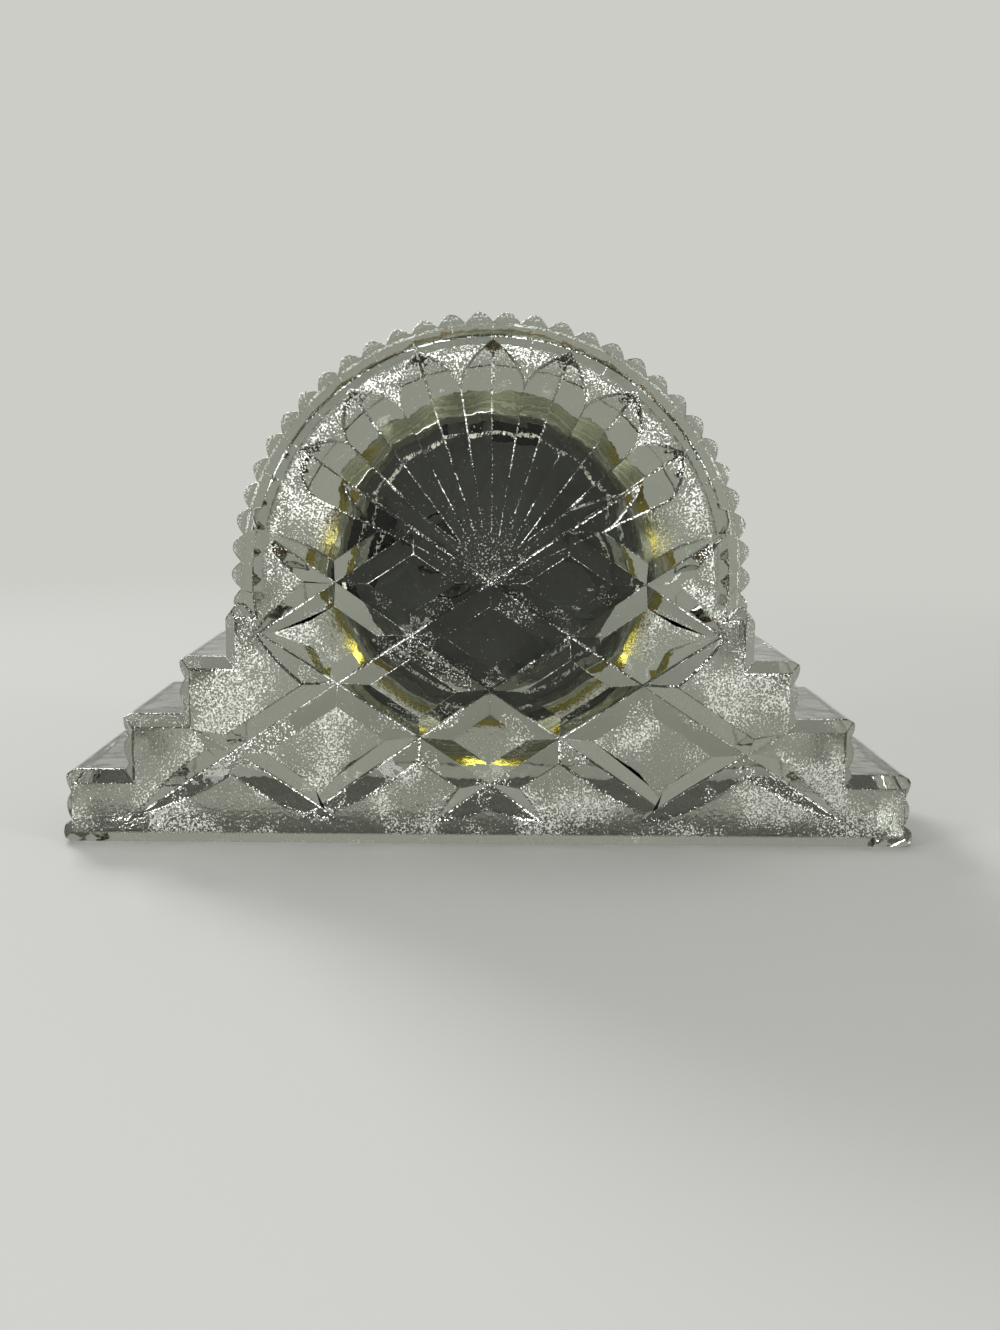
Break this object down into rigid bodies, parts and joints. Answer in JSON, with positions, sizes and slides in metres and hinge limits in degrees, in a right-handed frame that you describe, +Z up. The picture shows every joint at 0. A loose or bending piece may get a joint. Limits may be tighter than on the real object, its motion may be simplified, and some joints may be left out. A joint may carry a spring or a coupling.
{
  "type": "crystal desk clock",
  "caption": "Stepped cut-crystal desk clock: a toothed arch with a fan and diamond pattern on its back, and a round brass-rimmed quartz insert set in its front.",
  "frame": {"origin": "centre of the bounding box on the plane that the crystal stands on", "axes": "+Z up; the dial faces -Y and the cut pattern faces +Y; +X is to the right of someone reading the dial"},
  "size_m": [0.166, 0.0476, 0.102],
  "materials": {
    "crystal": "clear, fire polished",
    "lens_glass": "clear, polished",
    "bezel_brass": "polished and lacquered",
    "wheel_brass": "fine stamped",
    "hand_gold": "polished",
    "hand_black": "gloss lacquer",
    "dial_face": "satin ivory",
    "ivory_plastic": "moulded",
    "black_rubber": "matt",
    "clear_vinyl": "clear, soft, moulded",
    "case_plastic": "fine moulded grain",
    "movement_plastic": "moulded",
    "wheel_plastic": "moulded",
    "knob_plastic": "moulded",
    "screw_steel": "bright",
    "motor_iron": "annealed",
    "copper_wire": "enamelled copper",
    "board_green": "solder mask",
    "chip_resin": "potted",
    "battery_steel": "bright",
    "contact_metal": "spring temper",
    "magnet_grey": "sintered"
  },
  "bodies": {
    "crystal": {"crystal_body": "crystal"},
    "insert": {"bezel_ring": "bezel_brass", "lens": "lens_glass", "lens_gasket": "black_rubber", "reflector_ring": "ivory_plastic", "dial": "dial_face", "grip_band": "clear_vinyl", "rear_case": "case_plastic", "movement_front_plate": "movement_plastic", "movement_rear_plate": "movement_plastic", "train_plate": "wheel_brass", "plate_screws": "screw_steel", "stator": "motor_iron", "coil_core": "motor_iron", "coil_bobbin": "ivory_plastic", "coil_winding": "copper_wire", "circuit_board": "board_green", "quartz_can": "screw_steel", "chip_cover": "chip_resin", "battery": "battery_steel", "battery_contact_positive": "contact_metal", "battery_contact_negative": "contact_metal"},
    "hour_set": {"hour_wheel": "wheel_brass", "hour_hand": "hand_black"},
    "minute_set": {"cannon_pinion": "wheel_brass", "minute_hand": "hand_black"},
    "minute_works": {"minute_works_wheel": "wheel_plastic"},
    "setting": {"setting_stem": "wheel_plastic", "setting_knob": "knob_plastic"},
    "seconds_set": {"seconds_wheel": "wheel_brass", "second_hand": "hand_gold"},
    "third": {"third_wheel": "wheel_plastic"},
    "centre": {"centre_wheel": "wheel_brass"},
    "fifth": {"fifth_wheel": "wheel_plastic"},
    "rotor": {"rotor_magnet": "magnet_grey", "rotor_pinion": "wheel_plastic"},
    "hatch": {"battery_hatch": "case_plastic"}
  },
  "joints": [
    {"name": "insert_pull", "type": "slide", "parent": "crystal", "child": "insert", "axis": [0, -1, 0], "range_m": [0, 0.03]},
    {"name": "minute_turn", "type": "hinge", "parent": "insert", "child": "minute_set", "pos_m": [0, -0.02015, 0.0535], "axis": [0, 1, 0], "continuous": true},
    {"name": "hour_turn", "type": "hinge", "parent": "insert", "child": "hour_set", "pos_m": [0, -0.02015, 0.0535], "axis": [0, 1, 0], "continuous": true},
    {"name": "minute_works_turn", "type": "hinge", "parent": "insert", "child": "minute_works", "pos_m": [0.0058, -0.02015, 0.05505], "axis": [0, 1, 0], "continuous": true},
    {"name": "setting_turn", "type": "hinge", "parent": "insert", "child": "setting", "pos_m": [0.01159, -0.02015, 0.05661], "axis": [0, 1, 0], "continuous": true},
    {"name": "seconds_turn", "type": "hinge", "parent": "insert", "child": "seconds_set", "pos_m": [0, -0.02015, 0.0535], "axis": [0, 1, 0], "continuous": true},
    {"name": "third_turn", "type": "hinge", "parent": "insert", "child": "third", "pos_m": [-0.0053, -0.02015, 0.05656], "axis": [0, 1, 0], "continuous": true},
    {"name": "centre_turn", "type": "hinge", "parent": "insert", "child": "centre", "pos_m": [0, -0.02015, 0.0535], "axis": [0, 1, 0], "continuous": true},
    {"name": "fifth_turn", "type": "hinge", "parent": "insert", "child": "fifth", "pos_m": [0.0021, -0.02015, 0.04986], "axis": [0, 1, 0], "continuous": true},
    {"name": "rotor_turn", "type": "hinge", "parent": "insert", "child": "rotor", "pos_m": [0.00491, -0.02015, 0.04824], "axis": [0, 1, 0], "continuous": true},
    {"name": "hatch_twist", "type": "hinge", "parent": "insert", "child": "hatch", "pos_m": [-0.014, -0.00315, 0.047], "axis": [0, 1, 0], "range_deg": [0, 60]}
  ],
  "couplings": [
    {"joint": "hour_turn", "follows": "minute_turn", "ratio": 0.083333},
    {"joint": "minute_works_turn", "follows": "minute_turn", "ratio": -0.33333},
    {"joint": "setting_turn", "follows": "minute_turn", "ratio": 1},
    {"joint": "third_turn", "follows": "seconds_turn", "ratio": -0.13333},
    {"joint": "centre_turn", "follows": "seconds_turn", "ratio": 0.016667},
    {"joint": "fifth_turn", "follows": "seconds_turn", "ratio": -6},
    {"joint": "rotor_turn", "follows": "seconds_turn", "ratio": 30}
  ]
}
